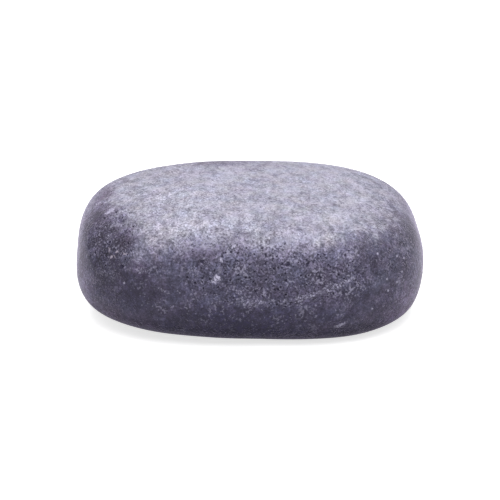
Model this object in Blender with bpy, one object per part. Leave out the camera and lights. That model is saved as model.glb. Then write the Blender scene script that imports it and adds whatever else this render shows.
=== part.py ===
"""River pebble: one waterworn stone 75 mm long, lying on the flattest part of its underside.

The form is the soft meeting of nine worn faces around the stone's heart: four round its girdle, which
meet in broad corners, and five above and below, which meet the girdle in tighter shoulders. On it are
low lumps, a hollow knocked out of the shoulder at the left end, a belt of small pits along the front,
a few stray pits elsewhere, and a foot worn flat. It is all one piece.

Dimensions are in millimetres, measured from the heart, until the mesh is set on its foot and scaled to
metres. +X runs along the stone, -Y is its front and +Z is up. The origin is on the foot, under the
middle of the stone's box.
"""

import math
import random

import bmesh
import bpy
from mathutils import Vector, noise

NODE_NAME = "pebble"
MM = 0.001

# Worn faces: azimuth and elevation of the way each one looks, in degrees, and its distance from the heart.
GIRDLE_FACES = {
    "front": (-88, 6, 26.5),
    "back": (96, -5, 23.0),
    "right end": (0, -6, 35.0),
    "left end": (180, 6, 40.0),
}
CAP_FACES = {
    "crown": (0, 90, 13.5),
    "crown slope": (0, 86, 18.5),
    "right brow": (0, 71, 20.0),
    "sole": (0, -90, 18.5),
    "left keel": (180, -86, 17.0),
}
CORNER_POWER = 3.0  # a higher power leaves tighter corners between the girdle's faces
SHOULDER_POWER = 4.0  # the same for the shoulders between the girdle and the caps

# The block that just holds the stone, and how many cells it has along X, Y and Z.
BLOCK_LOW = Vector((-40.0, -27.0, -15.0))
BLOCK_HIGH = Vector((34.5, 24.0, 12.5))
CELLS = (34, 22, 13)
ALONG = 0.9  # an edge of the gridded cube runs along an axis if this much of it does
SPREAD = 0.6  # widens the cells towards the block's edges, which the rounding draws together again

LUMP_SIZE = 11.0
LUMP_HEIGHT = 0.16

HOLLOW_CENTRE = Vector((-31.0, -18.0, 8.0))
HOLLOW_HALF = Vector((6.5, 9.0, 8.5))
HOLLOW_DEPTH = 1.3
CRAG_SIZE = 2.6  # the broken floor of the hollow
CRAG_HEIGHT = 0.3

BELT_CENTRE = Vector((2.5, -26.0, 3.0))
BELT_HALF = Vector((21.0, 8.0, 7.5))
RAGGED = 0.3  # how far the cells of the rough patches stray from their rows, as a share of a cell
PIT_SEED = 7
PIT_SHARE = 0.6  # of the faces in the middle of the belt, falling to none at its rim
PIT_MOUTH = (0.45, 0.9)
PIT_SLOPE = 0.55  # depth of a pit against its mouth
PIT_WALL = 0.25  # width of a pit's sloping wall against its mouth
LEAST_COLLAR = 0.05  # of level stone between a pit and the edge of its cell
HOLLOW_PIT_SHARE = 0.3
STRAY_PITS = 24

FOOT_CUT = 0.8  # how much the flat foot takes off the lowest point

STONE_COLOUR = (0.125, 0.115, 0.16, 1.0)
STONE_ROUGHNESS = 0.55


def clear_scene():
    for old in list(bpy.data.objects):
        bpy.data.objects.remove(old, do_unlink=True)


def facing(azimuth, elevation):
    """The unit vector that looks this way, in degrees."""
    turn = math.radians(azimuth)
    rise = math.radians(elevation)
    return Vector((math.cos(rise) * math.cos(turn), math.cos(rise) * math.sin(turn), math.sin(rise)))


def planes(faces):
    return [(facing(azimuth, elevation), distance) for azimuth, elevation, distance in faces.values()]


GIRDLE = planes(GIRDLE_FACES)
CAPS = planes(CAP_FACES)


def nearness(way, faces, power):
    """The sum of the faces' shares along a unit vector: a face met square on counts most."""
    return sum(max(0.0, way.dot(normal) / distance) ** power for normal, distance in faces)


def worn_radius(way):
    """How far the smooth worn surface lies from the heart along a unit vector."""
    girdle = nearness(way, GIRDLE, CORNER_POWER) ** (SHOULDER_POWER / CORNER_POWER)
    return (girdle + nearness(way, CAPS, SHOULDER_POWER)) ** (-1.0 / SHOULDER_POWER)


def reach(point, centre, half):
    """0 at a patch's centre and 1 at its rim, where the patch is a ball stretched to these half sizes."""
    away = point - centre
    return Vector((away.x / half.x, away.y / half.y, away.z / half.z)).length


def bowl(distance):
    """A smooth dish: 1 in the middle, 0 from the rim on, and level at both."""
    return max(0.0, 1.0 - distance**2) ** 2


def in_belt(point):
    return bowl(reach(point, BELT_CENTRE, BELT_HALF))


def in_hollow(point):
    return bowl(reach(point, HOLLOW_CENTRE, HOLLOW_HALF))


def relief(point):
    """How far the stone stands out from the smooth worn surface here, or lies under it if negative."""
    lumps = LUMP_HEIGHT * noise.noise(point / LUMP_SIZE)
    crags = CRAG_HEIGHT * noise.noise(point / CRAG_SIZE)
    return lumps + in_hollow(point) * (crags - HOLLOW_DEPTH)


def spread(place):
    return math.tan(SPREAD * place) / math.tan(SPREAD)


def on_block(corner):
    """The block's point for a corner of the gridded cube, whose coordinates run from -1 to 1."""
    shares = [(spread(place) + 1.0) / 2.0 for place in corner]
    return Vector(low + share * (high - low) for low, high, share in zip(BLOCK_LOW, BLOCK_HIGH, shares))


def on_worn_surface(corner):
    way = on_block(corner).normalized()
    return way * worn_radius(way)


def on_stone(corner):
    smooth = on_worn_surface(corner)
    return smooth + smooth.normalized() * relief(smooth)


def runs_along(edge, axis):
    start, end = (vert.co for vert in edge.verts)
    return abs((end - start).normalized()[axis]) > ALONG


def gridded_cube():
    """A cube from -1 to 1 whose faces are cut into cells."""
    mesh = bmesh.new()
    bmesh.ops.create_cube(mesh, size=2.0)
    for axis, cells in enumerate(CELLS):
        along = [edge for edge in mesh.edges if runs_along(edge, axis)]
        bmesh.ops.subdivide_edges(mesh, edges=along, cuts=cells - 1, use_grid_fill=True)
    return mesh


def roughen_grid(mesh, draw):
    """Halves the cells in the belt and the hollow, and sets them a little out of line."""
    rough = set()
    for face in mesh.faces:
        place = on_worn_surface(face.calc_center_median())
        if in_belt(place) or in_hollow(place):
            rough.update(face.edges)
    cut = bmesh.ops.subdivide_edges(mesh, edges=list(rough), cuts=1, use_grid_fill=True)
    for vert in cut["geom_inner"]:
        if isinstance(vert, bmesh.types.BMVert):
            stray(vert, draw)


def stray(vert, draw):
    """Slides a corner of the gridded cube by part of a halved cell, but never off the cube's face."""
    for axis, cells in enumerate(CELLS):
        halved_cell = 1.0 / cells
        if abs(vert.co[axis]) < 1.0 - halved_cell / 2.0:
            vert.co[axis] += draw.uniform(-RAGGED, RAGGED) * halved_cell


def pit_share(point):
    belt = PIT_SHARE * in_belt(point)
    return max(belt, HOLLOW_PIT_SHARE * in_hollow(point))


def faces_to_pit(mesh, draw):
    """Many faces in the belt, fewer in the hollow, and a few strays anywhere else."""
    rough = []
    plain = []
    for face in mesh.faces:
        if len(face.verts) != 4:
            continue
        share = pit_share(face.calc_center_median())
        if share == 0.0:
            plain.append(face)
        elif draw.random() < share:
            rough.append(face)
    return rough + draw.sample(plain, STRAY_PITS)


def sink_pit(mesh, face, mouth):
    """Cuts a pit into the middle of a face: a collar level with it, then a sloping wall."""
    side = math.sqrt(face.calc_area())
    collar = max(LEAST_COLLAR, (side - mouth) / 2.0)
    bmesh.ops.inset_individual(mesh, faces=[face], thickness=collar, use_even_offset=True)
    bmesh.ops.inset_individual(
        mesh, faces=[face], thickness=PIT_WALL * mouth, depth=-PIT_SLOPE * mouth, use_even_offset=True
    )


def flatten_foot(mesh):
    """Wears the lowest part flat."""
    floor = min(vert.co.z for vert in mesh.verts) + FOOT_CUT
    for vert in mesh.verts:
        vert.co.z = max(vert.co.z, floor)


def set_on_foot(mesh):
    """Puts the origin on the foot, under the middle of the box, and turns millimetres into metres."""
    low = Vector(min(vert.co[axis] for vert in mesh.verts) for axis in range(3))
    high = Vector(max(vert.co[axis] for vert in mesh.verts) for axis in range(3))
    origin = Vector(((low.x + high.x) / 2.0, (low.y + high.y) / 2.0, low.z))
    for vert in mesh.verts:
        vert.co = (vert.co - origin) * MM


def stone_mesh():
    draw = random.Random(PIT_SEED)
    mesh = gridded_cube()
    roughen_grid(mesh, draw)
    for vert in mesh.verts:
        vert.co = on_stone(vert.co)
    bmesh.ops.recalc_face_normals(mesh, faces=mesh.faces)
    for face in faces_to_pit(mesh, draw):
        sink_pit(mesh, face, draw.uniform(*PIT_MOUTH))
    flatten_foot(mesh)
    set_on_foot(mesh)
    return mesh


def stone_material():
    material = bpy.data.materials.new("stone")
    material.use_nodes = True
    shader = material.node_tree.nodes["Principled BSDF"]
    shader.inputs["Base Color"].default_value = STONE_COLOUR
    shader.inputs["Roughness"].default_value = STONE_ROUGHNESS
    shader.inputs["Metallic"].default_value = 0.0
    material.diffuse_color = STONE_COLOUR
    return material


def make_pebble():
    mesh = stone_mesh()
    data = bpy.data.meshes.new(NODE_NAME)
    mesh.to_mesh(data)
    mesh.free()
    data.shade_smooth()
    data.materials.append(stone_material())
    pebble = bpy.data.objects.new(NODE_NAME, data)
    bpy.context.scene.collection.objects.link(pebble)
    return pebble


clear_scene()
make_pebble()
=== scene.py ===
"""Looks of the river pebble: its waterworn skin, its stone, and the plain studio it lies in.

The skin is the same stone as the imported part, with finer detail: the soft meeting of nine worn faces, low
lumps and a rough hollow at the left end. Weathering then sinks pits into a belt along the front, into the
hollow and, more thinly, everywhere else. Lengths are in millimetres until a mesh is scaled to metres.
"""

import math

import bmesh
import bpy
from mathutils import Matrix, Vector, noise


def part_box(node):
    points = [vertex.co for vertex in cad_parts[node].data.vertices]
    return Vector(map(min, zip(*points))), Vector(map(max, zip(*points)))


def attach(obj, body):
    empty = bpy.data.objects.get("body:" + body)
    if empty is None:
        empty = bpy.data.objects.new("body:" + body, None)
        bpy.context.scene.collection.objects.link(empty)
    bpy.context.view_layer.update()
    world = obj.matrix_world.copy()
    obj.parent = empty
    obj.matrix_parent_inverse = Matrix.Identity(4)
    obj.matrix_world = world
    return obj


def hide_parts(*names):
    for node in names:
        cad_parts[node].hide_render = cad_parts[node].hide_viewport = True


MM = 0.001
CAD_NODE = "pebble"
BODY = "root"

# Worn faces: azimuth and elevation of the way each one looks, in degrees, and its distance from the heart.
GIRDLE_FACES = {
    "front": (-88, 6, 26.5),
    "back": (96, -5, 23.0),
    "right end": (0, -6, 35.0),
    "left end": (180, 6, 40.0),
}
CAP_FACES = {
    "crown": (0, 90, 13.5),
    "crown slope": (0, 86, 18.5),
    "right brow": (0, 71, 20.0),
    "sole": (0, -90, 18.5),
    "left keel": (180, -86, 17.0),
}
CORNER_POWER = 3.0  # a higher power leaves tighter corners between the girdle's faces
SHOULDER_POWER = 4.0  # the same for the shoulders between the girdle and the caps

# The block that just holds the stone, and how many cells its skin has along X, Y and Z.
BLOCK_LOW = Vector((-40.0, -27.0, -15.0))
BLOCK_HIGH = Vector((34.5, 24.0, 12.5))
CELLS = (132, 92, 48)
FINE_CUTS = 3  # each cell of the belt and the hollow is cut this many times each way
ALONG = 0.9  # an edge of the gridded cube runs along an axis if this much of it does
SPREAD = 0.6  # widens the cells towards the block's edges, which the rounding draws together again

LUMP_SIZE = 11.0
LUMP_HEIGHT = 0.16
HOLLOW_CENTRE = Vector((-31.0, -18.0, 8.0))
HOLLOW_HALF = Vector((6.5, 9.0, 8.5))
HOLLOW_DEPTH = 1.3
CRAG_SIZE = 2.6  # the broken floor of the hollow
CRAG_HEIGHT = 0.3
BELT_CENTRE = Vector((2.5, -26.0, 3.0))
BELT_HALF = Vector((21.0, 8.0, 7.5))
FOOT_CUT = 0.8  # how much the flat foot takes off the lowest point
LARGEST_MISFIT = 0.5  # between the skin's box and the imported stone's

# Attributes that the skin carries: how far a point lies in the belt or the hollow, how much it looks up,
# how deep in a pit it is, and how much on the rim of one.
BELT = "belt"
HOLLOW = "hollow"
UPWARD = "upward"
PIT = "pit"
RIM = "rim"


# ---------------------------------------------------------------- the worn form


def facing(azimuth, elevation):
    """The unit vector that looks this way, in degrees."""
    turn = math.radians(azimuth)
    rise = math.radians(elevation)
    level = math.cos(rise)
    return Vector((level * math.cos(turn), level * math.sin(turn), math.sin(rise)))


def planes(faces):
    return [(facing(azimuth, elevation), distance) for azimuth, elevation, distance in faces.values()]


GIRDLE = planes(GIRDLE_FACES)
CAPS = planes(CAP_FACES)


def nearness(way, faces, power):
    """The sum of the faces' shares along a unit vector: a face met square on counts most."""
    return sum(max(0.0, way.dot(normal) / distance) ** power for normal, distance in faces)


def worn_radius(way):
    """How far the smooth worn surface lies from the heart along a unit vector."""
    girdle = nearness(way, GIRDLE, CORNER_POWER) ** (SHOULDER_POWER / CORNER_POWER)
    return (girdle + nearness(way, CAPS, SHOULDER_POWER)) ** (-1.0 / SHOULDER_POWER)


def reach(point, centre, half):
    """0 at a patch's centre and 1 at its rim, where the patch is a ball stretched to these half sizes."""
    away = point - centre
    return Vector((away.x / half.x, away.y / half.y, away.z / half.z)).length


def bowl(distance):
    """A smooth dish: 1 in the middle, 0 from the rim on, and level at both."""
    return max(0.0, 1.0 - distance**2) ** 2


def in_belt(point):
    return bowl(reach(point, BELT_CENTRE, BELT_HALF))


def in_hollow(point):
    return bowl(reach(point, HOLLOW_CENTRE, HOLLOW_HALF))


def relief(point):
    """How far the stone stands out from the smooth worn surface here, or lies under it if negative."""
    lumps = LUMP_HEIGHT * noise.noise(point / LUMP_SIZE)
    crags = CRAG_HEIGHT * noise.noise(point / CRAG_SIZE)
    return lumps + in_hollow(point) * (crags - HOLLOW_DEPTH)


def spread(place):
    return math.tan(SPREAD * place) / math.tan(SPREAD)


def on_block(corner):
    """The block's point for a corner of the gridded cube, whose coordinates run from -1 to 1."""
    shares = [(spread(place) + 1.0) / 2.0 for place in corner]
    sides = zip(BLOCK_LOW, BLOCK_HIGH, shares)
    return Vector(low + share * (high - low) for low, high, share in sides)


def on_worn_surface(corner):
    way = on_block(corner).normalized()
    return way * worn_radius(way)


# ---------------------------------------------------------------- the skin's mesh


def runs_along(edge, axis):
    start, end = (vert.co for vert in edge.verts)
    return abs((end - start).normalized()[axis]) > ALONG


def gridded_cube():
    """A cube from -1 to 1 whose faces are cut into cells."""
    mesh = bmesh.new()
    bmesh.ops.create_cube(mesh, size=2.0)
    for axis, cells in enumerate(CELLS):
        along = [edge for edge in mesh.edges if runs_along(edge, axis)]
        bmesh.ops.subdivide_edges(mesh, edges=along, cuts=cells - 1, use_grid_fill=True)
    return mesh


def refine_rough_patches(mesh):
    """Cuts the cells in the belt and the hollow finer."""
    rough = set()
    for face in mesh.faces:
        place = on_worn_surface(face.calc_center_median())
        if in_belt(place) or in_hollow(place):
            rough.update(face.edges)
    bmesh.ops.subdivide_edges(mesh, edges=list(rough), cuts=FINE_CUTS, use_grid_fill=True)


def bare_skin():
    """The worn stone without its pits, measured from its heart, with its belt and hollow marked."""
    mesh = gridded_cube()
    refine_rough_patches(mesh)
    belt = mesh.verts.layers.float.new(BELT)
    hollow = mesh.verts.layers.float.new(HOLLOW)
    for vert in mesh.verts:
        smooth = on_worn_surface(vert.co)
        vert[belt] = in_belt(smooth)
        vert[hollow] = in_hollow(smooth)
        vert.co = smooth + smooth.normalized() * relief(smooth)
    bmesh.ops.recalc_face_normals(mesh, faces=mesh.faces)
    data = bpy.data.meshes.new("bare_skin")
    mesh.to_mesh(data)
    mesh.free()
    return data


# ---------------------------------------------------------------- node helpers


def add_node(tree, kind, **settings):
    """A new node of this kind in a node tree, with its settings."""
    node = tree.nodes.new(kind)
    for name, value in settings.items():
        setattr(node, name, value)
    return node


def feed(tree, socket, value):
    """Gives a socket its value: another node's output, or a plain number, vector or colour."""
    if isinstance(value, bpy.types.NodeSocket):
        tree.links.new(value, socket)
    else:
        socket.default_value = value


def maths(tree, operation, first, second=0.0, clamp=False):
    node = add_node(tree, "ShaderNodeMath", operation=operation, use_clamp=clamp)
    feed(tree, node.inputs[0], first)
    feed(tree, node.inputs[1], second)
    return node.outputs[0]


def vector_maths(tree, operation, first, second=(0.0, 0.0, 0.0)):
    node = add_node(tree, "ShaderNodeVectorMath", operation=operation)
    feed(tree, node.inputs[0], first)
    feed(tree, node.inputs[1], second)
    return node.outputs[0]


def scaled(tree, vector, scale):
    node = add_node(tree, "ShaderNodeVectorMath", operation="SCALE")
    feed(tree, node.inputs[0], vector)
    feed(tree, node.inputs["Scale"], scale)
    return node.outputs[0]


def length_of(tree, vector):
    node = add_node(tree, "ShaderNodeVectorMath", operation="LENGTH")
    feed(tree, node.inputs[0], vector)
    return node.outputs["Value"]


def eased(tree, value, start, end, low=0.0, high=1.0):
    """low where the value is at start, high at end, with a smooth step between."""
    node = add_node(tree, "ShaderNodeMapRange", interpolation_type="SMOOTHSTEP")
    for socket, given in zip(node.inputs, (value, start, end, low, high)):
        feed(tree, socket, given)
    return node.outputs[0]


NOISE_MIDDLE = 0.5
NOISE_LOW = 0.3  # most of a noise lies between this and the next value
NOISE_HIGH = 0.7
SMALLEST = 0.5  # a pit or speck is from this share of its usual width to 1 more across


def noise_value(tree, place, size, detail=2.0, roughness=0.5):
    """Noise from 0 to 1 whose lumps are about this size."""
    node = add_node(tree, "ShaderNodeTexNoise")
    feed(tree, node.inputs["Vector"], place)
    feed(tree, node.inputs["Scale"], maths(tree, "DIVIDE", 1.0, size))
    feed(tree, node.inputs["Detail"], detail)
    feed(tree, node.inputs["Roughness"], roughness)
    return node.outputs[0]


def centred(tree, value, stretch):
    """Moves noise to lie round 0, and stretches it."""
    return maths(tree, "MULTIPLY", maths(tree, "SUBTRACT", value, NOISE_MIDDLE), stretch)


def cells_around(tree, place):
    """The Voronoi cells of unit size that a place lies among: its distance from the nearest, and its draw."""
    node = add_node(tree, "ShaderNodeTexVoronoi", feature="F1")
    feed(tree, node.inputs["Vector"], place)
    feed(tree, node.inputs["Scale"], 1.0)
    draws = add_node(tree, "ShaderNodeSeparateXYZ")
    feed(tree, draws.inputs[0], node.outputs["Color"])
    return node.outputs["Distance"], draws.outputs


def drawn_cell(tree, place, given):
    """For the cell around a place, in spacings: how far its middle is, half the width of the pit or speck
    in it, and 1 if it has one. The width, spacing and share are the group's own inputs."""
    distance, draws = cells_around(tree, place)
    usual = maths(tree, "DIVIDE", maths(tree, "MULTIPLY", given["Width"], 0.5), given["Spacing"])
    half_width = maths(tree, "MULTIPLY", usual, maths(tree, "ADD", draws[1], SMALLEST))
    return distance, half_width, maths(tree, "LESS_THAN", draws[0], given["Share"])


def new_group(name, kind, inputs, outputs):
    """A node group with these sockets, each a name, a kind of socket and, for an input, its usual value."""
    tree = bpy.data.node_groups.new(name, kind)
    for socket_name, socket_kind, usual in inputs:
        socket = tree.interface.new_socket(socket_name, in_out="INPUT", socket_type=socket_kind)
        if usual is not None:
            socket.default_value = usual
    for socket_name, socket_kind in outputs:
        tree.interface.new_socket(socket_name, in_out="OUTPUT", socket_type=socket_kind)
    return tree, add_node(tree, "NodeGroupInput").outputs, add_node(tree, "NodeGroupOutput").inputs


def use_group(tree, group, **values):
    """Places a group in a tree. Each value goes to the input whose name it has, with _ for a space."""
    kind = "GeometryNodeGroup" if tree.bl_idname == "GeometryNodeTree" else "ShaderNodeGroup"
    node = add_node(tree, kind, node_tree=group)
    for name, value in values.items():
        feed(tree, node.inputs[name.replace("_", " ")], value)
    return node.outputs


FLOAT = "NodeSocketFloat"
VECTOR = "NodeSocketVector"
GEOMETRY = "NodeSocketGeometry"


# ---------------------------------------------------------------- weathering

PIT_SEED = 7.0
# The weathering tree's inputs. A pit's share is that of the cells, one spacing apart, that hold one.
WEATHERING = {
    "Small Pit Spacing": 0.8,
    "Small Pit Width": 0.52,
    "Small Pit Depth": 0.3,
    "Large Pit Spacing": 2.1,
    "Large Pit Width": 0.95,
    "Large Pit Depth": 0.36,
    "Large Pit Share": 0.45,
    "Belt Share": 0.62,
    "Hollow Share": 0.5,
    "Chip Size": 0.5,
    "Chip Height": 0.25,
    "Crag Size": 1.8,
    "Crag Height": 0.7,
    "Seed": PIT_SEED,
}
PIT_WALL = 0.45  # a pit is full deep where its distance from the middle is this share of its half width
PIT_RIM = 1.6  # and its rim ends at this share
PIT_FRAY = 0.6  # how far noise pulls a pit's rim out of round, as a share of the spacing
FRAY_SCALE = 3.0
SEED_STEP = 13.0  # one seed's pits lie this many spacings from the next seed's
SHOULDER_TILT = (0.5, 0.8)  # upward share where the belt starts to turn over, and where it has
LEVEL_PIT_SHARE = 0.32  # of the belt's pits are left where it has turned over onto the crown
ROUGH_EDGE = 0.07  # where the belt's or the hollow's value reaches this, they are fully rough


def pit_group():
    """Pits at random, about one spacing apart: how deep in a pit a place is, and how much on a pit's rim."""
    sockets = [
        ("Place", VECTOR, None),
        ("Spacing", FLOAT, 1.0),
        ("Width", FLOAT, 0.5),
        ("Share", FLOAT, 0.5),
        ("Seed", FLOAT, 0.0),
    ]
    tree, given, result = new_group("pits", "GeometryNodeTree", sockets, [("Depth", FLOAT), ("Rim", FLOAT)])
    in_spacings = scaled(tree, given["Place"], maths(tree, "DIVIDE", 1.0, given["Spacing"]))
    shift = scaled(tree, (1.0, 1.0, 1.0), maths(tree, "MULTIPLY", given["Seed"], SEED_STEP))
    moved = vector_maths(tree, "ADD", in_spacings, shift)
    fray = add_node(tree, "ShaderNodeTexNoise")
    feed(tree, fray.inputs["Vector"], moved)
    feed(tree, fray.inputs["Scale"], FRAY_SCALE)
    pull = vector_maths(tree, "SUBTRACT", fray.outputs["Color"], (NOISE_MIDDLE,) * 3)
    frayed = vector_maths(tree, "ADD", moved, scaled(tree, pull, PIT_FRAY))
    distance, half_width, drawn = drawn_cell(tree, frayed, given)
    inside = eased(tree, distance, half_width, maths(tree, "MULTIPLY", half_width, PIT_WALL))
    near = eased(tree, distance, maths(tree, "MULTIPLY", half_width, PIT_RIM), half_width)
    feed(tree, result["Depth"], maths(tree, "MULTIPLY", inside, drawn))
    feed(tree, result["Rim"], maths(tree, "MULTIPLY", maths(tree, "SUBTRACT", near, inside), drawn))
    return tree


def share_of_pits(tree, given, tilt, in_rough, in_scoop):
    """How many of the cells around a place hold a pit: fewer where the belt turns over onto the crown."""
    steep = eased(tree, tilt, *SHOULDER_TILT, 1.0, LEVEL_PIT_SHARE)
    in_belt_share = maths(tree, "MULTIPLY", maths(tree, "MULTIPLY", in_rough, steep), given["Belt Share"])
    in_scoop_share = maths(tree, "MULTIPLY", in_scoop, given["Hollow Share"])
    return maths(tree, "MAXIMUM", in_belt_share, in_scoop_share)


def sized_pits(tree, pits, given, size, **values):
    """Small or large pits, with the tree's own inputs for that size."""
    spacing = given[f"{size} Pit Spacing"]
    return use_group(tree, pits, Spacing=spacing, Width=given[f"{size} Pit Width"], **values)


def sunk_by_pits(tree, given, small, large):
    in_small = maths(tree, "MULTIPLY", small["Depth"], given["Small Pit Depth"])
    in_large = maths(tree, "MULTIPLY", large["Depth"], given["Large Pit Depth"])
    return maths(tree, "ADD", in_small, in_large)


def sunk_by_chips(tree, given, place, rough):
    """Chips all over the rough patches, and crags on the floor of the hollow."""
    chips = maths(tree, "MULTIPLY", noise_value(tree, place, given["Chip Size"]), given["Chip Height"])
    crags = maths(tree, "MULTIPLY", noise_value(tree, place, given["Crag Size"]), given["Crag Height"])
    crags = maths(tree, "MULTIPLY", crags, carried(tree, HOLLOW))
    return maths(tree, "ADD", maths(tree, "MULTIPLY", chips, rough), crags)


def weathering_tree(material):
    """Sinks pits and chips into the bare skin along its normals."""
    inputs = [("Skin", GEOMETRY, None)] + [(name, FLOAT, value) for name, value in WEATHERING.items()]
    tree, given, result = new_group("weathering", "GeometryNodeTree", inputs, [("Skin", GEOMETRY)])
    place = add_node(tree, "GeometryNodeInputPosition").outputs[0]
    normal = add_node(tree, "GeometryNodeInputNormal").outputs[0]
    upward = add_node(tree, "ShaderNodeSeparateXYZ")
    feed(tree, upward.inputs[0], normal)
    in_rough = eased(tree, carried(tree, BELT), 0.0, ROUGH_EDGE)
    in_scoop = eased(tree, carried(tree, HOLLOW), 0.0, ROUGH_EDGE)
    share = share_of_pits(tree, given, upward.outputs["Z"], in_rough, in_scoop)
    large_share = maths(tree, "MULTIPLY", share, given["Large Pit Share"])
    next_seed = maths(tree, "ADD", given["Seed"], 1.0)
    pits = pit_group()
    small = sized_pits(tree, pits, given, "Small", Place=place, Share=share, Seed=given["Seed"])
    large = sized_pits(tree, pits, given, "Large", Place=place, Share=large_share, Seed=next_seed)
    skin = keep_on_points(tree, given["Skin"], UPWARD, upward.outputs["Z"])
    skin = keep_on_points(tree, skin, PIT, maths(tree, "MAXIMUM", small["Depth"], large["Depth"]))
    skin = keep_on_points(tree, skin, RIM, maths(tree, "MAXIMUM", small["Rim"], large["Rim"]))
    chipped = sunk_by_chips(tree, given, place, maths(tree, "MAXIMUM", in_rough, in_scoop))
    inwards = maths(tree, "ADD", sunk_by_pits(tree, given, small, large), chipped)
    set_place = add_node(tree, "GeometryNodeSetPosition")
    feed(tree, set_place.inputs["Geometry"], skin)
    feed(tree, set_place.inputs["Offset"], scaled(tree, normal, maths(tree, "MULTIPLY", inwards, -1.0)))
    finish_tree(tree, set_place.outputs[0], material, result["Skin"])
    return tree


def carried(tree, name):
    node = add_node(tree, "GeometryNodeInputNamedAttribute", data_type="FLOAT")
    feed(tree, node.inputs["Name"], name)
    return node.outputs[0]


def keep_on_points(tree, geometry, name, value):
    """Stores a value on the points of the geometry as a named attribute."""
    node = add_node(tree, "GeometryNodeStoreNamedAttribute", data_type="FLOAT", domain="POINT")
    feed(tree, node.inputs["Geometry"], geometry)
    feed(tree, node.inputs["Name"], name)
    feed(tree, node.inputs["Value"], value)
    return node.outputs[0]


def finish_tree(tree, geometry, material, result):
    whole = add_node(tree, "GeometryNodeRealizeInstances")
    feed(tree, whole.inputs[0], geometry)
    finished = add_node(tree, "GeometryNodeSetMaterial")
    feed(tree, finished.inputs["Geometry"], whole.outputs[0])
    feed(tree, finished.inputs["Material"], material)
    feed(tree, result, finished.outputs[0])


def weathered(data, material):
    """The plain mesh that the weathering tree makes of the bare skin."""
    source = bpy.data.objects.new("skin_source", data)
    bpy.context.scene.collection.objects.link(source)
    modifier = source.modifiers.new("weathering", "NODES")
    modifier.node_group = weathering_tree(material)
    for item in modifier.node_group.interface.items_tree:
        if item.in_out == "INPUT" and item.name in WEATHERING:
            modifier[item.identifier] = WEATHERING[item.name]
    graph = bpy.context.evaluated_depsgraph_get()
    result = bpy.data.meshes.new_from_object(source.evaluated_get(graph), depsgraph=graph)
    bpy.data.objects.remove(source)
    return result


# ---------------------------------------------------------------- the stone in its place


def set_on_foot(data):
    """Wears the foot flat, puts the origin under the middle of the box, and turns to metres."""
    floor = min(vert.co.z for vert in data.vertices) + FOOT_CUT
    for vert in data.vertices:
        vert.co.z = max(vert.co.z, floor)
    low = Vector(min(vert.co[axis] for vert in data.vertices) for axis in range(3))
    high = Vector(max(vert.co[axis] for vert in data.vertices) for axis in range(3))
    origin = Vector(((low.x + high.x) / 2.0, (low.y + high.y) / 2.0, low.z))
    data.transform(Matrix.Scale(MM, 4) @ Matrix.Translation(-origin))


def check_fit(data):
    """Stops the script if the skin isn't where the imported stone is."""
    for corner, choose in zip(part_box(CAD_NODE), (min, max)):
        for axis in range(3):
            misfit = choose(vert.co[axis] for vert in data.vertices) - corner[axis]
            if abs(misfit) > LARGEST_MISFIT * MM:
                raise RuntimeError(f"the skin is {misfit / MM:.2f} mm off the packed stone on axis {axis}")


def make_stone():
    data = weathered(bare_skin(), stone_material())
    set_on_foot(data)
    check_fit(data)
    data.shade_smooth()
    stone = bpy.data.objects.new("waterworn_stone", data)
    bpy.context.scene.collection.objects.link(stone)
    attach(stone, BODY)
    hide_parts(CAD_NODE)
    return stone


# ---------------------------------------------------------------- stone material

# Colour of the stone by how much it looks up. Bloom and painted light make it pale on top, and on its flanks
# and underside it is dark and violet, the darkness painted shade.
BLOOM_LIGHT_AND_SHADE_BY_TILT = (
    (-0.3, (0.031, 0.0255, 0.046, 1.0)),
    (0.0, (0.033, 0.029, 0.052, 1.0)),
    (0.2, (0.047, 0.043, 0.071, 1.0)),
    (0.6, (0.077, 0.07, 0.112, 1.0)),
    (0.8, (0.1075, 0.1015, 0.1445, 1.0)),
    (0.93, (0.151, 0.1465, 0.19, 1.0)),
    (1.0, (0.1945, 0.192, 0.236, 1.0)),
)
# Pits and small dark marks darken towards this; in the pits the darkening is painted shade.
PIT_DARK = (0.011, 0.009, 0.024, 1.0)
SPECK_PALE = (0.28, 0.266, 0.355, 1.0)
STREAK_PALE = (0.33, 0.315, 0.42, 1.0)
FROST = (0.36, 0.35, 0.42, 1.0)
# The chalky marks' colour, which the painted glints use too.
CHALK_AND_GLINT = (0.45, 0.43, 0.56, 1.0)
FLAKE_PINK = (0.28, 0.245, 0.3, 1.0)

# Size, detail and roughness of each noise.
CLOUDS = (9.0, 3.0, 0.55)
HUES = (3.5, 4.0, 0.6)
MOTTLE = (2.6, 4.0, 0.62)
WISPS = (1.5, 3.0, 0.6)
GRAIN = (0.42, 2.0, 0.7)
FLECK_DETAIL = (2.0, 0.6)  # without a size, which each kind of fleck gives
WISP_STRETCH = (1.0, 0.6, 1.0)  # wisps lie across the stone
CRYSTAL_SIZE = 0.36
# How far a pattern that is used again is moved, so that it doesn't fall on its first use.
ABOVE = (7.0, 3.0, 19.0)
ELSEWHERE = (31.0, 17.0, 5.0)
RED_PLACE = (11.0, 5.0, 2.0)
BLUE_PLACE = (3.0, 23.0, 9.0)

# How far each noise makes the stone darker and lighter.
CLOUD_SWING = 0.1
WISP_SWING = 0.36
GRAIN_SWING = (0.42, 0.62)  # on plain stone and on rough stone
CRYSTAL_SWING = 0.22
RED_SWING = (0.09, 0.06)  # how far red drifts where the stone is bare, and where its top is fully pale
BLUE_SWING = (0.04, 0.075)
CROWN_TILT = (0.92, 1.0)
CROWN_CALM = 0.75  # the level crown is mottled by this share of what the shoulders are

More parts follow.
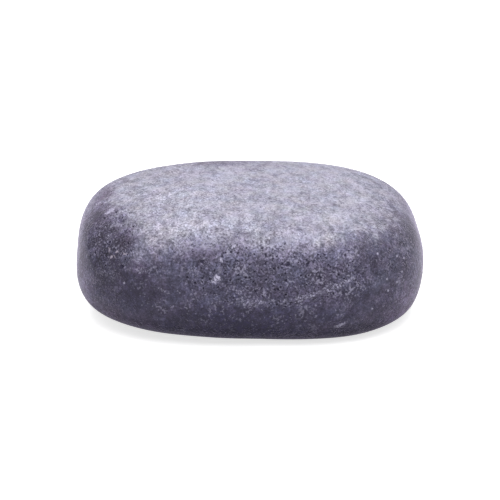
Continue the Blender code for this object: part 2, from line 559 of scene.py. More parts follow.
# Bloom and painted light make the stone pale where it looks up: from how far up they start, and where they are
# full.
BLOOM_AND_LIGHT_TILT = (0.3, 0.95)
BLOOM_AND_LIGHT_EDGE_MOTTLE = 0.42  # how far mottling moves the edge of the pale top, as upward share
BLOOM_AND_LIGHT_EDGE_WISPS = 0.3
ROUGH_UNDER_BLOOM_AND_LIGHT = 0.42  # what the pale top leaves of roughness where it is full
MARKS_UNDER_BLOOM_AND_LIGHT = 0.62  # and of small dark marks
SCOOP_EDGE = 0.3  # where the hollow's value reaches this, the material is fully rough

# Round specks: spacing, width, and the share of the cells that have one.
DOTS = {"Spacing": 1.3, "Width": 0.42, "Share": 0.18}
DUST = {"Spacing": 0.9, "Width": 0.4, "Share": 0.25}
HOLES = {"Spacing": 1.1, "Width": 0.45, "Share": 0.3}
PORES = {"Spacing": 0.62, "Width": 0.38, "Share": 0.45}
SPECK_WALL = 0.4  # a speck is full where its distance from the middle is this share of its half width
# Ragged flecks: size, size of their clusters, how much they keep to those, and the level they start at.
PALE_FLECKS = {"Size": 0.5, "Cluster": 3.2, "Pull": 0.6, "Level": 0.58}
DARK_FLECKS = {"Size": 0.5, "Cluster": 3.2, "Pull": 0.5, "Level": 0.58}
FROST_FLECKS = {"Size": 0.7, "Cluster": 5.0, "Pull": 0.7, "Level": 0.5}
STREAK_FLECKS = {"Size": 0.34, "Cluster": 1.2, "Pull": 0.5, "Level": 0.5}
FLECK_EDGE = 0.12  # how far above its level a fleck is full

# How strongly each mark shows. A pair is for where the named thing is missing and where it is full.
PALE_BY_ROUGH = (0.32, 0.5)
DOTS_BY_BLOOM_AND_LIGHT = (0.42, 0.3)
DOTS_BY_SCOOP = (1.0, 0.5)
DUST_STRENGTH = 0.7
FROST_STRENGTH = 0.35
RIM_GRAIN = (0.45, 0.65)  # rims of pits show where the grain is over the first, and most over the second
RIM_STRENGTH = 0.5
LOW_TILT = (-0.3, 0.05)  # below the first, pale marks are at their weakest, and above the second at full
LOW_STRENGTH = 0.45
DARK_BY_ROUGH = (0.5, 0.75)
HOLE_STRENGTH = 0.5
PORE_STRENGTH = 0.8
PIT_STRENGTH = 0.9

STONE_ROUGHNESS = 0.55
ROUGHNESS_SWING = 0.06
UNDERSIDE_TILT = (-0.1, -0.5)
UNDERSIDE_DULL = 0.42
PIT_DULL = 0.3
GLOSS_LEVEL = 0.6
GLOSS_TINT = (0.79, 0.74, 1.0, 1.0)
SHEEN = 0.5
SHEEN_TINT = (0.86, 0.79, 1.0, 1.0)
SHEEN_ROUGHNESS = 0.3
GRAIN_RELIEF = (0.075, 0.05)  # on bare stone and on the pale top, in millimetres as every relief
MOTTLE_RELIEF = 0.12
CRYSTAL_RELIEF = 0.02
MARK_RELIEF = 0.09  # how deep small dark marks sink

# Patches of painted light and shade, and a few of the stone's own tone, in millimetres from the foot's middle:
# centre, half sizes, what is added to how much the stone looks up there, which brings the pale top or drives it
# back, and the tint that multiplies its colour. Apart from scoop_pink, back_pale and back_dark, which are the
# stone's own tone,
# those that darken paint shade: at both ends, on the shoulders and brow, in the hollow, on the front and at the
# far edge of the crown. Those on the low rims and low on the left end paint pale reflection and light, and the
# other pale ones, on the brow, shoulders and crown, paint highlights.
LIGHT_SHADE_AND_TONE_PATCHES = {
    "left_top": ((-31.5, 1.0, 25.0), (4.0, 7.0, 4.0), -0.4, (0.8, 0.68, 0.72, 1.0)),
    "left_shoulder": ((-31.8, -10.8, 24.0), (6.0, 9.5, 8.0), -0.6, (0.54, 0.47, 0.51, 1.0)),
    "scoop_top": ((-28.0, -15.0, 24.2), (5.5, 5.0, 4.0), -0.3, (0.75, 0.68, 0.72, 1.0)),
    # Painted shade in the hollow.
    "hollow_floor": ((-29.0, -18.0, 19.0), (6.5, 8.0, 8.5), -0.6, (0.23, 0.21, 0.27, 1.0)),
    "hollow_smooth": ((-26.0, -18.8, 22.0), (3.8, 4.0, 2.6), -0.5, (0.66, 0.5, 0.54, 1.0)),
    "left_end": ((-30.2, -18.5, 12.5), (4.2, 6.0, 6.5), -0.1, (0.6, 0.58, 0.62, 1.0)),
    "left_side": ((-35.0, -13.0, 17.5), (4.0, 6.5, 4.5), -0.15, (0.78, 0.76, 0.78, 1.0)),
    # Painted reflection: a pale rim low on the left end.
    "left_rim": ((-34.4, -15.8, 10.2), (4.0, 7.5, 8.5), 0.0, (2.65, 2.55, 2.4, 1.0)),
    "scoop_pink": ((-22.5, -22.5, 18.3), (3.0, 3.0, 2.2), 0.05, (1.3, 1.08, 1.2, 1.0)),
    "left_flank": ((-24.0, -24.0, 13.0), (13.0, 8.0, 7.5), -0.2, (0.34, 0.32, 0.41, 1.0)),
    "shoulder_pale": ((-16.0, -19.5, 24.3), (9.0, 6.0, 3.5), 0.12, (1.12, 1.1, 1.08, 1.0)),
    "scoop_lip": ((-18.5, -21.7, 21.3), (7.5, 4.0, 4.2), 0.29, (1.15, 1.13, 1.1, 1.0)),
    "dot_pale": ((-3.5, -22.8, 22.2), (3.2, 3.0, 2.4), 0.24, (1.1, 1.1, 1.1, 1.0)),
    "brow_pale": ((1.5, -21.8, 23.4), (5.0, 3.0, 2.0), 0.15, (1.1, 1.1, 1.1, 1.0)),
    "belt_brow": ((13.0, -21.2, 23.6), (8.0, 5.0, 3.0), 0.14, (1.08, 1.08, 1.08, 1.0)),
    "brow_top": ((17.0, -14.5, 25.8), (6.0, 5.0, 3.0), 0.08, (1.2, 1.2, 1.2, 1.0)),
    "right_shoulder": ((24.8, -19.0, 20.2), (8.4, 7.0, 6.2), -0.3, (0.6, 0.6, 0.62, 1.0)),
    "right_brow": ((29.5, -13.5, 21.5), (5.0, 5.5, 3.5), -0.3, (0.55, 0.54, 0.56, 1.0)),
    "right_end": ((33.6, -6.5, 20.0), (7.0, 10.5, 6.8), -0.42, (0.26, 0.25, 0.28, 1.0)),
    "right_flank": ((30.0, -15.5, 17.0), (4.5, 5.0, 3.5), -0.1, (0.7, 0.68, 0.72, 1.0)),
    "belt_gap": ((18.8, -19.5, 21.8), (3.2, 4.0, 2.5), -0.1, (0.85, 0.84, 0.86, 1.0)),
    # Painted reflection: a pale rim low on the right end.
    "right_rim": ((32.2, -15.0, 6.8), (7.0, 10.5, 8.0), 0.0, (3.3, 3.0, 2.85, 1.0)),
    "far_right_crown": ((17.0, 8.0, 26.0), (14.0, 10.0, 5.0), 0.05, (1.15, 1.15, 1.15, 1.0)),
    "far_edge": ((-6.0, 16.0, 26.0), (14.5, 6.5, 6.0), -0.2, (0.68, 0.63, 0.68, 1.0)),
    "crown_dip": ((-13.3, -8.5, 26.8), (3.5, 3.5, 2.5), -0.03, (0.9, 0.89, 0.9, 1.0)),
    "crown_pale": ((-4.5, 4.0, 27.0), (6.0, 7.0, 3.0), 0.0, (1.12, 1.12, 1.12, 1.0)),
    "belt_shade": ((10.5, -25.5, 9.0), (3.5, 4.0, 2.6), -0.05, (0.55, 0.53, 0.57, 1.0)),
    "arc_shade": ((20.0, -23.0, 12.5), (6.0, 4.0, 2.5), -0.1, (0.6, 0.6, 0.62, 1.0)),
    "flank_foot": ((-14.0, -25.0, 8.0), (7.5, 5.0, 4.5), -0.05, (0.66, 0.63, 0.7, 1.0)),
    # Painted shade low on the front and towards its right end.
    "low_front": ((-1.0, -25.5, 6.5), (29.0, 9.0, 8.0), -0.1, (0.172, 0.155, 0.36, 1.0)),
    "low_right": ((21.0, -22.0, 3.0), (10.0, 6.0, 6.0), -0.1, (0.3, 0.28, 0.33, 1.0)),
    # Painted light low on the left end.
    "left_foot": ((-29.0, -20.0, 6.8), (6.5, 6.0, 4.5), 0.0, (1.8, 1.75, 1.6, 1.0)),
    "back_pale": ((9.0, 24.0, 17.5), (12.0, 7.0, 6.0), 0.25, (1.2, 1.18, 1.15, 1.0)),
    "back_dark": ((-17.0, 21.0, 12.0), (10.0, 8.0, 7.0), -0.25, (0.55, 0.52, 0.56, 1.0)),
}
PATCH_FRAY = 1.2  # how far mottling moves a patch's edge in and out, as a share of its reach
NO_TINT = (1.0, 1.0, 1.0, 1.0)
# Where the stone is mottled more than elsewhere, or less: centre, half sizes and how much.
LIVELIER = {
    "left_crown": ((-19.0, -6.0, 26.0), (17.0, 12.0, 6.0), 0.45),
    "hollow": ((-30.0, -17.5, 18.5), (4.0, 7.0, 6.0), 0.3),
    "hollow_smooth": ((-26.0, -18.8, 22.0), (3.4, 4.0, 2.3), -0.5),
    "far_crown": ((8.0, 14.5, 26.0), (25.0, 10.0, 6.0), -0.45),
    "brow": ((9.5, -17.0, 24.5), (18.0, 7.0, 5.0), -0.38),
}
# Chalky marks: centre, half sizes, slant and strength.
CHALK_MARKS = {
    "spot": ((-6.9, -25.1, 17.0), (0.9, 1.4, 1.0), 0.3, 0.8),
    "spot_tail": ((-6.2, -24.8, 18.9), (0.7, 1.0, 0.9), 0.0, 0.2),
    "spot_top": ((-5.9, -24.3, 20.9), (0.45, 1.0, 0.6), 0.0, 0.6),
    "shoulder_dot": ((-3.3, -22.9, 23.1), (0.6, 0.9, 0.35), 0.2, 0.8),
    "foot_fleck": ((18.5, -24.0, 6.2), (1.4, 1.5, 0.5), 0.4, 0.4),
    "hollow_fleck": ((-29.3, -9.3, 25.2), (1.3, 1.6, 0.35), 0.45, 0.55),
    "back_fleck": ((-9.0, 22.5, 18.5), (1.4, 1.2, 0.6), 0.3, 0.5),
}
MARK_FRAY = 3.0
MARK_CORE = 0.3  # a patch is full from its middle to this share of its reach
# Painted glints: single pale crystals as they catch the light.
CRYSTAL_GLINTS = (
    (-25.7, -22.4, 14.9),
    (25.9, -19.3, 20.0),
    (30.1, -17.1, 18.5),
    (31.7, -16.1, 17.6),
    (27.9, -20.3, 14.8),
    (30.1, -19.0, 13.5),
    (31.2, -17.7, 15.2),
    (28.2, -20.5, 12.2),
    (24.9, -22.3, 9.0),
)
GLINT_HALF = (0.35, 0.6, 0.35)
GLINT_FRAY = 1.0
GLINT_STRENGTH = 0.6
# Thin flakes on the floor of the hollow: centre, half sizes and slant.
FLAKES = (
    ((-28.9, -18.2, 20.2), (0.3, 3.0, 0.65), 0.0),
    ((-28.4, -18.8, 19.2), (0.5, 3.0, 0.35), 0.6),
    ((-27.8, -19.2, 19.5), (0.45, 3.0, 0.25), -0.7),
    ((-27.2, -18.9, 20.3), (0.55, 3.0, 0.24), 0.5),
    ((-25.5, -20.5, 20.5), (1.1, 3.0, 0.18), 0.25),
)
FLAKE_FRAY = 2.0
FLAKE_STRENGTH = 0.85
# Streaks where pale specks gather: centre, half sizes, slant and strength.
STREAKS = {
    "arc_high": ((18.6, -23.6, 15.3), (4.0, 2.5, 0.95), 0.36, 0.95),
    "arc_middle": ((15.2, -24.3, 14.1), (3.2, 2.5, 0.85), 0.36, 0.85),
    "arc_low": ((11.0, -24.8, 12.8), (4.6, 2.5, 0.95), 0.28, 0.68),
    "belt_foot": ((0.5, -25.5, 12.0), (7.0, 2.0, 1.1), 0.0, 0.6),
    "scoop_edge": ((-29.5, -19.6, 16.0), (3.0, 3.0, 1.2), 0.0, 0.22),
    "scoop_side": ((-22.4, -22.3, 20.6), (1.4, 2.0, 2.0), 0.0, 0.8),
    "scoop_foot": ((-22.9, -23.0, 18.0), (2.2, 2.0, 1.0), 0.0, 0.5),
    "flank_wisp": ((-17.7, -24.7, 14.3), (2.8, 2.0, 0.6), -0.3, 0.45),
}
STREAK_FRAY = 1.9
STREAK_CORE = 0.2
STREAK_GROUND = 0.08  # how pale a streak is between its specks, against the specks
# Ends of the stone that wear differently: centre and half sizes.
SMOOTH_END = ((-27.5, -21.0, 12.5), (10.5, 8.0, 8.5))  # where few pale specks show
SMOOTH_CORE = 0.4
SMOOTH_STRENGTH = 0.35
DUSTED_END = ((30.0, -16.0, 13.0), (8.0, 12.0, 11.0))  # where single pale grains show
ROUGH_END = ((20.5, -22.3, 17.8), (7.5, 5.0, 6.2))  # where the belt runs out to the right
ROUGH_CORE = 0.5


def speckle_group():
    """Small specks: 1 in a speck, 0 outside, in a share of the cells about one spacing apart."""
    sockets = [
        ("Place", VECTOR, None),
        ("Spacing", FLOAT, 1.0),
        ("Width", FLOAT, 0.4),
        ("Share", FLOAT, 0.3),
    ]
    tree, given, result = new_group("speckle", "ShaderNodeTree", sockets, [("Mask", FLOAT)])
    in_spacings = scaled(tree, given["Place"], maths(tree, "DIVIDE", 1.0, given["Spacing"]))
    distance, half_width, drawn = drawn_cell(tree, in_spacings, given)
    inside = eased(tree, distance, half_width, maths(tree, "MULTIPLY", half_width, SPECK_WALL))
    feed(tree, result["Mask"], maths(tree, "MULTIPLY", inside, drawn))
    return tree


def swing_group():
    """A factor round 1 that follows noise: low where the noise is low, high where it is high."""
    sockets = [("Noise", FLOAT, 0.5), ("Swing", FLOAT, 0.1)]
    tree, given, result = new_group("swing", "ShaderNodeTree", sockets, [("Factor", FLOAT)])
    low = maths(tree, "SUBTRACT", 1.0, given["Swing"])
    high = maths(tree, "ADD", 1.0, given["Swing"])
    feed(tree, result["Factor"], eased(tree, given["Noise"], NOISE_LOW, NOISE_HIGH, low, high))
    return tree


def patch_group():
    """1 in the middle of a patch and 0 outside it. Noise frays its edge, core is how far the 1 reaches, and
    slant is how much the patch rises towards +X."""
    sockets = [
        ("Place", VECTOR, None),
        ("Centre", VECTOR, None),
        ("Half Size", VECTOR, (1.0, 1.0, 1.0)),
        ("Slant", FLOAT, 0.0),
        ("Noise", FLOAT, 0.5),
        ("Fray", FLOAT, 0.5),
        ("Core", FLOAT, 0.0),
    ]
    tree, given, result = new_group("patch", "ShaderNodeTree", sockets, [("Mask", FLOAT)])
    away = vector_maths(tree, "SUBTRACT", given["Place"], given["Centre"])
    along = add_node(tree, "ShaderNodeSeparateXYZ")
    feed(tree, along.inputs[0], away)
    rise = maths(tree, "MULTIPLY", along.outputs["X"], given["Slant"])
    away = vector_maths(tree, "SUBTRACT", away, scaled(tree, (0.0, 0.0, 1.0), rise))
    distance = length_of(tree, vector_maths(tree, "DIVIDE", away, given["Half Size"]))
    pull = centred(tree, given["Noise"], given["Fray"])
    feed(tree, result["Mask"], eased(tree, maths(tree, "ADD", distance, pull), 1.0, given["Core"]))
    return tree


def fleck_group():
    """Ragged flecks that gather in clusters: 1 in a fleck, 0 outside."""
    sockets = [
        ("Place", VECTOR, None),
        ("Size", FLOAT, 0.5),
        ("Cluster", FLOAT, 3.0),
        ("Pull", FLOAT, 0.5),
        ("Level", FLOAT, 0.6),
    ]
    tree, given, result = new_group("flecks", "ShaderNodeTree", sockets, [("Mask", FLOAT)])
    fine = noise_value(tree, given["Place"], given["Size"], *FLECK_DETAIL)
    pull = centred(tree, noise_value(tree, given["Place"], given["Cluster"], *FLECK_DETAIL), given["Pull"])
    edge = maths(tree, "ADD", given["Level"], FLECK_EDGE)
    feed(tree, result["Mask"], eased(tree, maths(tree, "ADD", fine, pull), given["Level"], edge))
    return tree


def mixed(tree, share, first, second, blend="MIX"):
    node = add_node(tree, "ShaderNodeMix", data_type="RGBA", blend_type=blend)
    feed(tree, node.inputs["Factor"], share)
    colours = [socket for socket in node.inputs if socket.type == "RGBA"]
    feed(tree, colours[0], first)
    feed(tree, colours[1], second)
    return [socket for socket in node.outputs if socket.type == "RGBA"][0]


def attribute(tree, name):
    node = add_node(tree, "ShaderNodeAttribute", attribute_type="GEOMETRY", attribute_name=name)
    return node.outputs["Fac"]


def between(tree, share, first, second):
    """A number that goes from the first to the second as share goes from 0 to 1."""
    return maths(tree, "ADD", first, maths(tree, "MULTIPLY", share, second - first))


def bloom_light_and_shade_by_tilt(tree, upward):
    """The stone's colour for how much a place looks up. Bloom and painted light make it pale on top, and
    painted shade makes it dark low down.
    """
    lowest = BLOOM_LIGHT_AND_SHADE_BY_TILT[0][0]
    highest = BLOOM_LIGHT_AND_SHADE_BY_TILT[-1][0]
    share = maths(tree, "DIVIDE", maths(tree, "SUBTRACT", upward, lowest), highest - lowest)
    ramp = add_node(tree, "ShaderNodeValToRGB")
    stops = ramp.color_ramp.elements
    stops.remove(stops[1])
    for number, (tilt, colour) in enumerate(BLOOM_LIGHT_AND_SHADE_BY_TILT):
        stop = stops[0] if number == 0 else stops.new((tilt - lowest) / (highest - lowest))
        stop.color = colour
    feed(tree, ramp.inputs["Fac"], share)
    return ramp.outputs["Color"]


class StonePaint:
    """The stone's colour as it is built up, with the groups, noises and masks that its coats share.

    Laying the ground adds the masks bloom, in_scoop, belt_end, rough and lively. Laying the dark marks adds
    sunk and marks, which the roughness and the relief read too."""

    def __init__(self, tree):
        self.tree = tree
        self.speckle = speckle_group()
        self.swinging = swing_group()
        self.patches = patch_group()
        self.fleck = fleck_group()
        self.place = scaled(tree, add_node(tree, "ShaderNodeTexCoord").outputs["Object"], 1.0 / MM)
        self.above = vector_maths(tree, "ADD", self.place, ABOVE)
        self.elsewhere = vector_maths(tree, "ADD", self.place, ELSEWHERE)
        self.clouds = noise_value(tree, self.place, *CLOUDS)
        self.mottle = noise_value(tree, self.place, *MOTTLE)
        self.wisps = noise_value(tree, vector_maths(tree, "MULTIPLY", self.place, WISP_STRETCH), *WISPS)
        self.grain = noise_value(tree, self.place, *GRAIN)
        self.crystals = cells_around(tree, scaled(tree, self.place, 1.0 / CRYSTAL_SIZE))[1][2]
        self.tilt = attribute(tree, UPWARD)

    def product(self, first, second):
        return maths(self.tree, "MULTIPLY", first, second)

    def greater(self, first, second):
        return maths(self.tree, "MAXIMUM", first, second)

    def swing(self, noise_here, amount):
        return use_group(self.tree, self.swinging, Noise=noise_here, Swing=amount)["Factor"]

    def specks(self, place, sizes):
        return use_group(self.tree, self.speckle, Place=place, **sizes)["Mask"]

    def flecks(self, place, sizes):
        return use_group(self.tree, self.fleck, Place=place, **sizes)["Mask"]

    def patch(self, centre, half, **changes):
        """The mask of a patch, frayed by mottling unless a change says otherwise."""
        values = {"Noise": self.mottle, "Fray": PATCH_FRAY, **changes}
        sides = {"Place": self.place, "Centre": centre, "Half_Size": half}
        return use_group(self.tree, self.patches, **sides, **values)["Mask"]

    def coat(self, mask, strength, colour):
        """Lays a coat of another colour where the mask is, at this strength."""
        self.colour = mixed(self.tree, self.product(mask, strength), self.colour, colour)


def light_shade_and_tone_patches(paint):
    """How much each place looks up, as moved by noise and the patches, and the tint of the patches: most paint
    light and shade, a few the stone's own tone.
    """
    tree = paint.tree
    upward = maths(tree, "ADD", paint.tilt, centred(tree, paint.mottle, BLOOM_AND_LIGHT_EDGE_MOTTLE))
    upward = maths(tree, "ADD", upward, centred(tree, paint.wisps, BLOOM_AND_LIGHT_EDGE_WISPS))
    tint = NO_TINT
    for centre, half, more_upward, light_shade_and_tone_tint in LIGHT_SHADE_AND_TONE_PATCHES.values():
        mask = paint.patch(centre, half)
        upward = maths(tree, "ADD", upward, paint.product(mask, more_upward))
        tint = mixed(tree, mask, tint, light_shade_and_tone_tint, "MULTIPLY")
    return upward, tint


def find_rough_stone(paint):
    """Where the stone is rough: in the belt, in the hollow and where the belt runs out."""
    tree = paint.tree
    paint.in_scoop = eased(tree, attribute(tree, HOLLOW), 0.0, SCOOP_EDGE)
    paint.belt_end = paint.patch(*ROUGH_END, Core=ROUGH_CORE)
    rough = paint.greater(eased(tree, attribute(tree, BELT), 0.0, ROUGH_EDGE), paint.in_scoop)
    rough = paint.greater(rough, paint.belt_end)
    paint.rough = paint.product(rough, between(tree, paint.bloom, 1.0, ROUGH_UNDER_BLOOM_AND_LIGHT))


def find_lively_stone(paint):
    """How strongly each place is mottled, against the stone's usual mottling."""
    tree = paint.tree
    paint.lively = eased(tree, paint.tilt, *CROWN_TILT, 1.0, CROWN_CALM)
    for centre, half, more in LIVELIER.values():
        factor = between(tree, paint.patch(centre, half), 1.0, 1.0 + more)
        paint.lively = paint.product(paint.lively, factor)


def hue_drift(paint):
    """A tint whose red and blue drift apart from place to place."""
    tree = paint.tree
    tint = add_node(tree, "ShaderNodeCombineColor")
    feed(tree, tint.inputs["Green"], 1.0)
    for channel, offset, swing in (("Red", RED_PLACE, RED_SWING), ("Blue", BLUE_PLACE, BLUE_SWING)):
        noise_here = noise_value(tree, vector_maths(tree, "ADD", paint.place, offset), *HUES)
        feed(tree, tint.inputs[channel], paint.swing(noise_here, between(tree, paint.bloom, *swing)))
    return tint.outputs["Color"]


def mottling(paint):
    """How much darker or lighter the clouds, wisps, grain and crystals make each place."""
    shade = paint.swing(paint.clouds, CLOUD_SWING)
    grain_swing = between(paint.tree, paint.rough, *GRAIN_SWING)
    swings = ((paint.wisps, WISP_SWING), (paint.grain, grain_swing), (paint.crystals, CRYSTAL_SWING))
    for noise_here, swing in swings:
        shade = paint.product(shade, paint.swing(noise_here, paint.product(paint.lively, swing)))
    return shade


def lay_ground(paint):
    """The stone's colour, with patches of painted light, shade and tone, drifting hues and mottling. Bloom and
    painted light make it pale on what looks up, and painted shade makes it dark on what looks down.
    """
    tree = paint.tree
    upward, tint = light_shade_and_tone_patches(paint)
    paint.bloom = eased(tree, upward, *BLOOM_AND_LIGHT_TILT)
    find_rough_stone(paint)
    find_lively_stone(paint)
    # Pale top and dark flanks by tilt, partly painted light and shade, times the patches' tints.
    colour = mixed(tree, 1.0, bloom_light_and_shade_by_tilt(tree, upward), tint, "MULTIPLY")
    colour = mixed(tree, 1.0, colour, hue_drift(paint), "MULTIPLY")
    paint.colour = scaled(tree, colour, mottling(paint))


def lay_pale_marks(paint):
    """Pale flecks and dots, dust at the right end, frost on the pale top, and rims of pits."""
    tree = paint.tree
    low = eased(tree, paint.tilt, *LOW_TILT, LOW_STRENGTH, 1.0)
    smooth = paint.patch(*SMOOTH_END, Core=SMOOTH_CORE)
    left = paint.product(between(tree, smooth, 1.0, SMOOTH_STRENGTH), low)
    pale = paint.product(paint.flecks(paint.place, PALE_FLECKS), left)
    paint.coat(pale, between(tree, paint.rough, *PALE_BY_ROUGH), SPECK_PALE)
    dots = paint.product(paint.specks(paint.place, DOTS), low)
    dots = paint.product(dots, between(tree, paint.in_scoop, *DOTS_BY_SCOOP))
    paint.coat(dots, between(tree, paint.bloom, *DOTS_BY_BLOOM_AND_LIGHT), SPECK_PALE)
    dust = paint.product(paint.specks(paint.above, DUST), paint.patch(*DUSTED_END))
    paint.coat(dust, DUST_STRENGTH, SPECK_PALE)
    frost = paint.product(paint.flecks(paint.above, FROST_FLECKS), paint.bloom)
    paint.coat(frost, FROST_STRENGTH, FROST)
    rims = eased(tree, paint.grain, *RIM_GRAIN, 0.0, RIM_STRENGTH)
    paint.coat(paint.product(attribute(tree, RIM), rims), left, SPECK_PALE)


def lay_dark_marks(paint):
    """Pits, dark flecks, holes and pores. Marks are the last three, and sunk is all that darkens; in the pits
    the darkening is painted shade.
    """
    tree = paint.tree
    dark = paint.flecks(paint.elsewhere, DARK_FLECKS)
    holes = paint.specks(paint.elsewhere, HOLES)
    pore_strength = paint.greater(paint.product(paint.rough, PORE_STRENGTH), paint.belt_end)
    pores = paint.product(paint.specks(paint.above, PORES), pore_strength)
    under_bloom = between(tree, paint.bloom, 1.0, MARKS_UNDER_BLOOM_AND_LIGHT)
    dark_strength = paint.product(between(tree, paint.rough, *DARK_BY_ROUGH), under_bloom)
    sunk = paint.greater(attribute(tree, PIT), paint.product(dark, dark_strength))
    sunk = paint.greater(sunk, paint.product(holes, paint.product(under_bloom, HOLE_STRENGTH)))
    paint.sunk = paint.greater(sunk, pores)
    paint.marks = paint.greater(paint.greater(dark, holes), pores)
    # Painted shade in the pits, with the dark flecks, holes and pores.
    paint.coat(paint.sunk, PIT_STRENGTH, PIT_DARK)


def lay_placed_marks(paint):
    """Flakes in the hollow, pale streaks, chalky marks and painted glints of single crystals."""
    for centre, half, slant in FLAKES:
        mask = paint.patch(centre, half, Slant=slant, Noise=paint.grain, Fray=FLAKE_FRAY)
        paint.coat(mask, FLAKE_STRENGTH, FLAKE_PINK)
    gathered = paint.flecks(paint.above, STREAK_FLECKS)
    for centre, half, slant, strength in STREAKS.values():
        mask = paint.patch(centre, half, Slant=slant, Noise=paint.wisps, Fray=STREAK_FRAY, Core=STREAK_CORE)
        share = between(paint.tree, gathered, strength * STREAK_GROUND, strength)
        paint.coat(mask, share, STREAK_PALE)
    for centre, half, slant, strength in CHALK_MARKS.values():
        mask = paint.patch(centre, half, Slant=slant, Noise=paint.grain, Fray=MARK_FRAY, Core=MARK_CORE)
        paint.coat(mask, strength, CHALK_AND_GLINT)
    for centre in CRYSTAL_GLINTS:
        mask = paint.patch(centre, GLINT_HALF, Noise=paint.grain, Fray=GLINT_FRAY)
        paint.coat(mask, GLINT_STRENGTH, CHALK_AND_GLINT)


def roughness_of(paint):
    """How rough the stone's surface is: a little more or less by its grain, and more underneath and in pits."""
    tree = paint.tree
    dullest = STONE_ROUGHNESS + ROUGHNESS_SWING
    glossiest = STONE_ROUGHNESS - ROUGHNESS_SWING
    roughness = eased(tree, paint.grain, NOISE_LOW, NOISE_HIGH, dullest, glossiest)
    dull = eased(tree, paint.tilt, *UNDERSIDE_TILT, 0.0, UNDERSIDE_DULL)
    dull = maths(tree, "ADD", dull, paint.product(paint.sunk, PIT_DULL))
    return maths(tree, "ADD", roughness, dull, clamp=True)


def relief_of(paint):
    """The bumps of grain, mottling and crystals, with the small dark marks sunk in."""
    tree = paint.tree
    grain_relief = paint.product(paint.lively, between(tree, paint.bloom, *GRAIN_RELIEF))
    height = paint.product(paint.grain, grain_relief)
    height = maths(tree, "ADD", height, paint.product(paint.mottle, MOTTLE_RELIEF))
    height = maths(tree, "ADD", height, paint.product(paint.crystals, CRYSTAL_RELIEF))
    height = maths(tree, "SUBTRACT", height, paint.product(paint.marks, MARK_RELIEF))
    bump = add_node(tree, "ShaderNodeBump")
    feed(tree, bump.inputs["Strength"], 1.0)
    feed(tree, bump.inputs["Distance"], MM)
    feed(tree, bump.inputs["Height"], height)
    return bump.outputs[0]


def stone_material():
    material = bpy.data.materials.new("waterworn_stone")
    material.use_nodes = True
    paint = StonePaint(material.node_tree)
    lay_ground(paint)
    lay_pale_marks(paint)
    lay_dark_marks(paint)
    lay_placed_marks(paint)
    shader = material.node_tree.nodes["Principled BSDF"]
    feed(paint.tree, shader.inputs["Base Color"], paint.colour)
    feed(paint.tree, shader.inputs["Roughness"], roughness_of(paint))
    feed(paint.tree, shader.inputs["Normal"], relief_of(paint))
    shader.inputs["Specular IOR Level"].default_value = GLOSS_LEVEL
    shader.inputs["Specular Tint"].default_value = GLOSS_TINT
    shader.inputs["Sheen Weight"].default_value = SHEEN
    shader.inputs["Sheen Roughness"].default_value = SHEEN_ROUGHNESS
    shader.inputs["Sheen Tint"].default_value = SHEEN_TINT
    return material


# ---------------------------------------------------------------- the studio

# The camera looks down by its elevation, in degrees, and stands this far from what it is aimed at.
CAMERA_AIM = Vector((-0.13, -0.38, 12.4))
CAMERA_DISTANCE = 303.2
CAMERA_ELEVATION = 24.0
CAMERA_LENS = 100.0
CAMERA_SENSOR = 36.0
CAMERA_NEAR = 10.0
CAMERA_FAR = 20000.0
WHITE = (1.0, 1.0, 1.0, 1.0)
FLOOR_SIZE = 20000.0
FLOOR_PAINT = (0.6, 0.6, 0.605, 1.0)
FLOOR_ROUGHNESS = 0.9
FLOOR_GLOW = 0.7  # how much brighter the floor looks than it lights the stone, to keep shadows pale
SURROUND_STRENGTH = 0.5
SURROUND_GLOW = 0.5  # how much brighter the surround looks than it lights the stone
SOFTBOX_SIZE = 400.0
SOFTBOX_AIM = Vector((0.0, 0.0, 10.0))

# Softboxes overhead: where each one hangs, and its power in watts.
SOFTBOXES = {
    "back_softbox": ((0.0, 350.0, 550.0), 3.0),
    "front_softbox": ((0.0, -350.0, 550.0), 4.7),
}


def make_floor():
    mesh = bmesh.new()
    bmesh.ops.create_grid(mesh, x_segments=1, y_segments=1, size=FLOOR_SIZE * MM / 2.0)
    data = bpy.data.meshes.new("floor")
    mesh.to_mesh(data)
    mesh.free()
    floor = bpy.data.objects.new("floor", data)
    bpy.context.scene.collection.objects.link(floor)
    material = bpy.data.materials.new("studio_floor")
    material.use_nodes = True
    shader = material.node_tree.nodes["Principled BSDF"]
    shader.inputs["Base Color"].default_value = FLOOR_PAINT
    shader.inputs["Roughness"].default_value = FLOOR_ROUGHNESS
    shader.inputs["Specular IOR Level"].default_value = 0.0
    shader.inputs["Emission Color"].default_value = WHITE
    seen = add_node(material.node_tree, "ShaderNodeLightPath").outputs["Is Camera Ray"]
    glow = maths(material.node_tree, "MULTIPLY", seen, FLOOR_GLOW)
    feed(material.node_tree, shader.inputs["Emission Strength"], glow)
    data.materials.append(material)


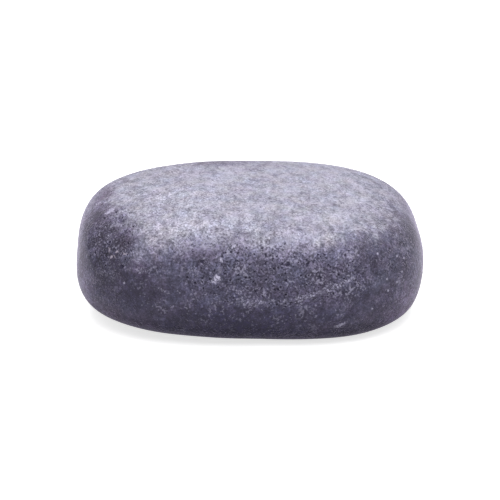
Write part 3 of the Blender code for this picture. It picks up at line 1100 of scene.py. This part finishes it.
def aim(item, target):
    item.rotation_euler = (target - item.location).to_track_quat("-Z", "Y").to_euler()


def make_softbox(name, place, size, power):
    data = bpy.data.lights.new(name, "AREA")
    data.shape = "SQUARE"
    data.size = size * MM
    data.energy = power
    lamp = bpy.data.objects.new(name, data)
    lamp.location = place * MM
    bpy.context.scene.collection.objects.link(lamp)
    aim(lamp, SOFTBOX_AIM * MM)


def make_surround():
    world = bpy.data.worlds.new("studio")
    world.use_nodes = True
    sky = world.node_tree.nodes["Background"]
    sky.inputs["Color"].default_value = WHITE
    seen = add_node(world.node_tree, "ShaderNodeLightPath").outputs["Is Camera Ray"]
    glow = maths(world.node_tree, "MULTIPLY", seen, SURROUND_GLOW)
    feed(world.node_tree, sky.inputs["Strength"], maths(world.node_tree, "ADD", glow, SURROUND_STRENGTH))
    bpy.context.scene.world = world


def make_camera():
    data = bpy.data.cameras.new("camera")
    data.lens = CAMERA_LENS
    data.sensor_width = CAMERA_SENSOR
    data.clip_start = CAMERA_NEAR * MM
    data.clip_end = CAMERA_FAR * MM
    camera = bpy.data.objects.new("camera", data)
    camera.location = (CAMERA_AIM + facing(-90.0, CAMERA_ELEVATION) * CAMERA_DISTANCE) * MM
    bpy.context.scene.collection.objects.link(camera)
    aim(camera, CAMERA_AIM * MM)
    bpy.context.scene.camera = camera


def make_studio():
    make_floor()
    make_surround()
    for name, (place, power) in SOFTBOXES.items():
        make_softbox(name, Vector(place), SOFTBOX_SIZE, power)
    make_camera()
    bpy.context.scene.view_settings.view_transform = "Standard"


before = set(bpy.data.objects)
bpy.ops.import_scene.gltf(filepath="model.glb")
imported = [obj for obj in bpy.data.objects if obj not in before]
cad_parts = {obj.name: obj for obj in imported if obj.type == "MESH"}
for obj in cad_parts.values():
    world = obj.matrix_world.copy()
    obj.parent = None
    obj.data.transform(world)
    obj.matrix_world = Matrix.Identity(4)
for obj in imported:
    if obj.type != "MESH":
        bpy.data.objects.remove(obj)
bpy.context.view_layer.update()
make_studio()
make_stone()
